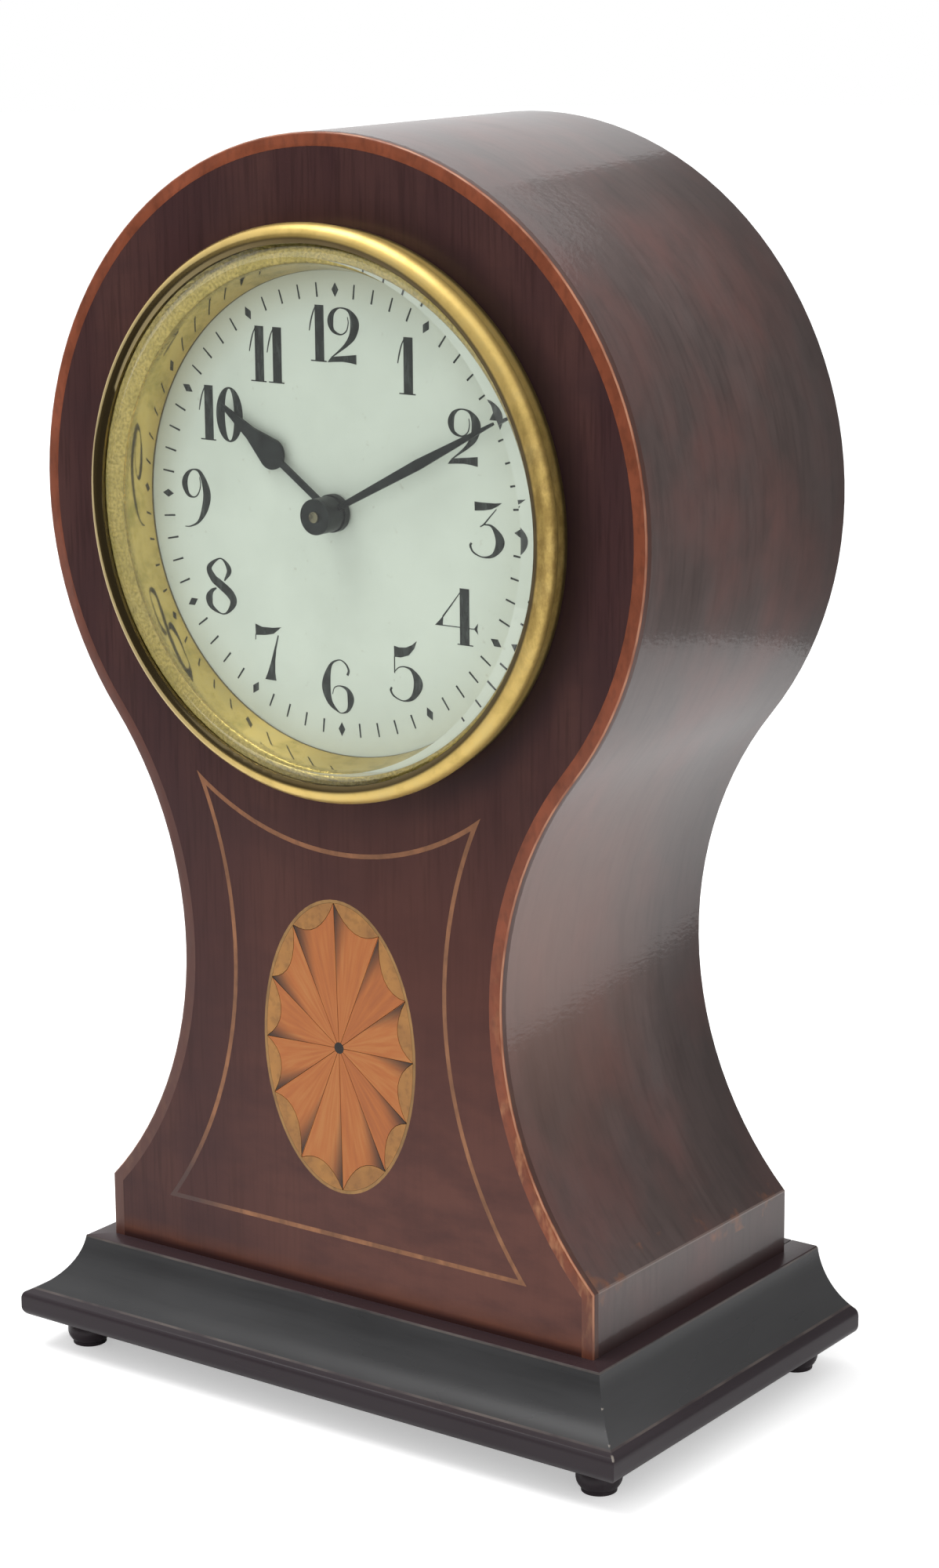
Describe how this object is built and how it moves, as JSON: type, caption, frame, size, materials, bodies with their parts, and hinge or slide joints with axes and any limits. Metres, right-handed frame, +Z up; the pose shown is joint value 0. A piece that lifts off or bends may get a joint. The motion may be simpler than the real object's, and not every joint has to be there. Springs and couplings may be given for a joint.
{
  "type": "balloon mantel clock",
  "caption": "Balloon-shaped mantel clock: inlaid mahogany case on an ebonised coved plinth, brass bezel, white dial, hands, hinged back door and a back-wound drum movement.",
  "frame": {"origin": "on the floor under the middle of the plinth", "axes": "+Z up, -Y is the dial side, +X to the right of someone facing the dial"},
  "size_m": [0.1406, 0.0858, 0.239],
  "materials": {
    "pine": "plain sawn",
    "mahogany": "french polished veneer",
    "boxwood": "polished inlay",
    "shaded_satinwood": "sand-shaded inlay",
    "green_stained_wood": "polished inlay",
    "dark_wood": "polished inlay",
    "ebonised_wood": "satin ebonised polish",
    "glass": "clear, bevelled",
    "white_enamel": "gloss white",
    "blued_steel": "dark blued",
    "steel": "bright",
    "brass": "lacquered"
  },
  "bodies": {
    "case": {"base_core": "ebonised_wood", "front_moulding": "ebonised_wood", "left_moulding": "ebonised_wood", "right_moulding": "ebonised_wood", "feet": "ebonised_wood", "case_screws": "steel", "front_board": "pine", "back_board": "pine", "left_cheek": "pine", "right_cheek": "pine", "crown": "pine", "bottom_rail": "pine", "side_veneer": "mahogany", "front_veneer": "mahogany", "edge_stringing": "boxwood", "panel_stringing": "boxwood", "patera_border": "boxwood", "patera_petals": "shaded_satinwood", "patera_lunettes": "green_stained_wood", "patera_dot": "dark_wood", "bezel": "brass", "glass": "glass", "sight_ring": "brass", "dial": "white_enamel", "drum": "brass", "back_ring": "brass", "ring_screws": "brass", "door_pin": "steel", "front_plate": "brass", "back_plate": "brass", "pillars": "brass", "plate_screws": "steel", "hairspring": "steel"},
    "centre": {"centre_arbor": "steel", "centre_wheel": "brass", "cannon_pinion": "steel", "minute_hand": "blued_steel"},
    "hour": {"hour_wheel": "brass", "hour_hand": "blued_steel"},
    "minute_wheel": {"minute_wheel": "brass"},
    "intermediate": {"intermediate_arbor": "steel", "intermediate_wheel": "brass"},
    "barrel": {"barrel": "brass", "barrel_cap": "brass", "mainspring": "steel"},
    "third": {"third_arbor": "steel", "third_wheel": "brass"},
    "fourth": {"fourth_arbor": "steel", "fourth_wheel": "brass"},
    "escape": {"escape_arbor": "steel", "escape_wheel": "brass"},
    "winding": {"winding_arbor": "steel", "ratchet_wheel": "steel"},
    "click": {"click": "steel"},
    "pallet": {"pallet_lever": "steel"},
    "balance": {"balance": "brass"},
    "regulator": {"regulator": "steel"},
    "door": {"back_door": "brass", "door_knob": "brass"}
  },
  "joints": [
    {"name": "minute_turn", "type": "hinge", "parent": "case", "child": "centre", "pos_m": [0, -0.0095, 0.1714], "axis": [0, 1, 0], "continuous": true},
    {"name": "hour_turn", "type": "hinge", "parent": "case", "child": "hour", "pos_m": [0, -0.0095, 0.1714], "axis": [0, 1, 0], "continuous": true},
    {"name": "minute_wheel_turn", "type": "hinge", "parent": "case", "child": "minute_wheel", "pos_m": [0.0048, -0.0095, 0.16309], "axis": [0, 1, 0], "continuous": true},
    {"name": "intermediate_turn", "type": "hinge", "parent": "case", "child": "intermediate", "pos_m": [0.01421, -0.0095, 0.16623], "axis": [0, 1, 0], "continuous": true},
    {"name": "barrel_turn", "type": "hinge", "parent": "case", "child": "barrel", "pos_m": [0, -0.0095, 0.15192], "axis": [0, 1, 0], "continuous": true},
    {"name": "third_turn", "type": "hinge", "parent": "case", "child": "third", "pos_m": [-0.01247, -0.0095, 0.1786], "axis": [0, 1, 0], "continuous": true},
    {"name": "fourth_turn", "type": "hinge", "parent": "case", "child": "fourth", "pos_m": [-0.00652, -0.0095, 0.18891], "axis": [0, 1, 0], "continuous": true},
    {"name": "escape_turn", "type": "hinge", "parent": "case", "child": "escape", "pos_m": [0.00405, -0.0095, 0.19275], "axis": [0, 1, 0], "continuous": true},
    {"name": "winding_turn", "type": "hinge", "parent": "case", "child": "winding", "pos_m": [0, 0.0105, 0.15192], "axis": [0, 1, 0], "range_deg": [0, 1440]},
    {"name": "click_lift", "type": "hinge", "parent": "case", "child": "click", "pos_m": [-0.01033, 0.0075, 0.14816], "axis": [0, 1, 0], "range_deg": [0, 10]},
    {"name": "pallet_rock", "type": "hinge", "parent": "case", "child": "pallet", "pos_m": [0.01095, -0.0025, 0.19215], "axis": [0, 1, 0], "range_deg": [-5, 5]},
    {"name": "balance_swing", "type": "hinge", "parent": "case", "child": "balance", "pos_m": [0.01992, 0.0005, 0.19137], "axis": [0, 1, 0], "range_deg": [-140, 140]},
    {"name": "regulator_swing", "type": "hinge", "parent": "case", "child": "regulator", "pos_m": [0.01992, 0.0075, 0.19137], "axis": [0, 1, 0], "range_deg": [-18, 18]},
    {"name": "door_hinge", "type": "hinge", "parent": "case", "child": "door", "pos_m": [-0.0523, 0.04005, 0.1714], "axis": [0, 0, 1], "range_deg": [0, 110]}
  ],
  "couplings": [
    {"joint": "hour_turn", "follows": "minute_turn", "ratio": 0.083333},
    {"joint": "minute_wheel_turn", "follows": "minute_turn", "ratio": -0.33333},
    {"joint": "intermediate_turn", "follows": "minute_turn", "ratio": -0.16667},
    {"joint": "barrel_turn", "follows": "minute_turn", "ratio": 0.02381},
    {"joint": "third_turn", "follows": "minute_turn", "ratio": -8},
    {"joint": "fourth_turn", "follows": "minute_turn", "ratio": 60},
    {"joint": "escape_turn", "follows": "minute_turn", "ratio": -480}
  ]
}
